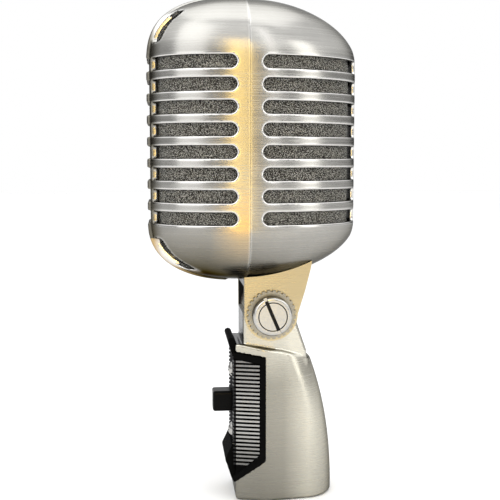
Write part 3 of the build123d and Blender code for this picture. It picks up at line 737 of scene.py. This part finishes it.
def surface_net(solid, low, high, step):
    """Quads on the zero surface of a solid, one vertex to a grid cell, then moved onto the surface."""
    axes = [np.arange(a - step, b + 2 * step, step) for a, b in zip(low, high)]
    shape = tuple(len(a) for a in axes)
    f = np.empty(shape, np.float32)
    for k in range(0, shape[2], SLAB):
        gx, gy, gz = np.meshgrid(axes[0], axes[1], axes[2][k : k + SLAB], indexing="ij")
        f[:, :, k : k + SLAB] = solid(gx, gy, gz)
    inside = f < 0
    cell = tuple(n - 1 for n in shape)
    total = np.zeros((*cell, 3), np.float32)
    count = np.zeros(cell, np.float32)
    corner = [(i, j, k) for i in (0, 1) for j in (0, 1) for k in (0, 1)]

    def at(grid, c):
        return grid[c[0] : c[0] + cell[0], c[1] : c[1] + cell[1], c[2] : c[2] + cell[2]]

    for a in corner:
        for axis in range(3):
            if a[axis]:
                continue
            b = tuple(v + (n == axis) for n, v in enumerate(a))
            fa, fb = at(f, a), at(f, b)
            cross = at(inside, a) != at(inside, b)
            where = np.nonzero(cross)
            va, vb = fa[where], fb[where]
            share = va / (va - vb)
            count[where] += 1
            for n in range(3):
                total[where + (n,)] += a[n] + (share if n == axis else 0)
    used = np.nonzero(count)
    number = np.full(cell, -1, np.int64)
    number[used] = np.arange(len(used[0]))
    points = total[used] / count[used][:, None]
    points = points + np.stack(used, 1)
    points = points * step + np.array([a[0] for a in axes])
    quads = []
    for axis in range(3):
        u, v = [n for n in range(3) if n != axis]
        a = inside.take(range(0, shape[axis] - 1), axis)
        b = inside.take(range(1, shape[axis]), axis)
        change = np.stack(np.nonzero(a != b), 1)
        keep = (change[:, u] > 0) & (change[:, v] > 0)
        keep &= (change[:, u] < shape[u] - 1) & (change[:, v] < shape[v] - 1)
        change = change[keep]
        down = a[tuple(change.T)]
        ring = []
        for du, dv in ((1, 1), (0, 1), (0, 0), (1, 0)):
            c = change.copy()
            c[:, u] -= du
            c[:, v] -= dv
            ring.append(number[tuple(c.T)])
        q = np.stack(ring, 1)
        flip = down if axis != 1 else ~down
        q[~flip] = q[~flip][:, ::-1]
        quads.append(q)
    quads = np.concatenate(quads)
    for _ in range(3):
        points, normal = toward_surface(solid, points, step)
    return points, quads, normal


def toward_surface(solid, points, step):
    """Each point moved along the solid's slope onto its surface, by no more than half a step."""
    e = 0.04
    x, y, z = points.T.astype(np.float64)
    f = solid(x, y, z)
    slope = np.stack(
        [
            solid(x + e, y, z) - solid(x - e, y, z),
            solid(x, y + e, z) - solid(x, y - e, z),
            solid(x, y, z + e) - solid(x, y, z - e),
        ],
        1,
    ) / (2 * e)
    size = np.maximum(np.linalg.norm(slope, axis=1), 0.3)
    normal = slope / size[:, None]
    move = np.clip(f / size, -0.4 * step, 0.4 * step)
    return np.stack([x, y, z], 1) - normal * move[:, None] * 0.9, normal


def mesh_object(name, points, faces, normal=None):
    """A smooth-shaded object from points in millimetres."""
    mesh = bpy.data.meshes.new(name)
    mesh.vertices.add(len(points))
    mesh.vertices.foreach_set("co", (np.asarray(points) * MM).ravel())
    faces = np.asarray(faces)
    mesh.loops.add(faces.size)
    mesh.loops.foreach_set("vertex_index", faces.ravel().astype(np.int32))
    mesh.polygons.add(len(faces))
    mesh.polygons.foreach_set("loop_start", np.arange(0, faces.size, faces.shape[1], dtype=np.int32))
    mesh.update(calc_edges=True)
    mesh.validate()
    mesh.polygons.foreach_set("use_smooth", np.ones(len(mesh.polygons), bool))
    if normal is not None:
        unit = normal / np.maximum(np.linalg.norm(normal, axis=1), 1e-6)[:, None]
        mesh.normals_split_custom_set_from_vertices(unit.tolist())
    obj = bpy.data.objects.new(name, mesh)
    SCENE.collection.objects.link(obj)
    return obj


def finish_piece(obj, body, slot, *nodes, material=None):
    """Gives a piece its finish and its body, and puts it in place of the CAD nodes."""
    obj.data.materials.append(material or MATERIALS[slot])
    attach(obj, body)
    if nodes:
        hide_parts(*nodes)


GRID = 0.5
SEAM_GAP = 0.12
LINING_GRID, LINING_IN, LINING_THICK = 1.2, 3.0, 2.1
LINING_FRONT_FLAT = 35.4    # seam to the flat that the front lining follows


def add_shell(front):
    """One half of the head, cut square at the seam, its slot rims and seam edge marked for the polishing
    and the painted highlight.
    """
    side = -1 if front else 1
    solid, openings = (front_shell, front_openings) if front else (rear_shell, rear_openings)
    y_low, y_high = (-42, -4) if front else (-6, 37.5)
    low, high = (-28.5, y_low, 83.5), (28.5, y_high, 188)
    points, faces, normal = surface_net(solid, low, high, GRID)
    edge = SEAM_Y + side * SEAM_GAP / 2
    points[:, 1] = side * np.maximum(side * points[:, 1], side * edge)
    name = "front" if front else "rear"
    shell = mesh_object(name + "_shell", points, faces, normal)
    # rim share: where a highlight is painted and the metal made less rough, at the slot rims and along
    # the seam
    slot_rim = np.exp(-((openings(*points.T) / 0.7) ** 2))
    if front:
        slot_rim *= np.clip((points[:, 1] + 39.0) / 3.0, 0, 1)
    # painted highlight along the seam edge
    seam_rim = 0.35 * np.exp(-(((points[:, 1] - edge) / 0.4) ** 2))
    rim = shell.data.attributes.new("rim", "FLOAT", "POINT")
    rim.data.foreach_set("value", np.maximum(slot_rim, seam_rim).astype(np.float32))
    finish_piece(shell, "head", "satin_nickel", name + "_grille")


add_shell(True)
add_shell(False)

points, faces, normal = surface_net(base_shell, (-14.5, -10, 0), (14.5, 30, 81.5), GRID)
base = mesh_object("base_shell", points, faces, normal)
finish_piece(base, "base", "satin_nickel", "base_casting", material=CASTING)


def foam(front):
    """Soft lining inside one shell, open over the floor posts."""

    def solid(x, y, z):
        skin = to_distance(lambda *q: level(*q, front), (x, y, z), 0.3)
        flat = (SEAM_Y - LINING_FRONT_FLAT - y) if front else (y - SEAM_Y - REAR_FLAT)
        outer = both_inside(skin + LINING_IN, flat + LINING_IN, 0.5)
        wall = np.maximum(outer, -(outer + LINING_THICK))
        cut = np.maximum(np.maximum(np.abs(x) - 14, np.abs(y - 6) - 13.5), z - 98)
        side = (y - SEAM_Y + 0.2) if front else (SEAM_Y + 0.2 - y)
        return np.maximum(np.maximum(wall, -cut), side)

    return solid


for front, name, low, high in (
    (True, "front_foam", (-26, -38, 86), (26, -5, 186)),
    (False, "rear_foam", (-26, -5, 86), (26, 36, 186)),
):
    pts, faces, nrm = surface_net(foam(front), low, high, LINING_GRID)
    lining = mesh_object(name.replace("_foam", "_lining"), pts, faces, nrm)
    finish_piece(lining, "head", "lining_foam", name)
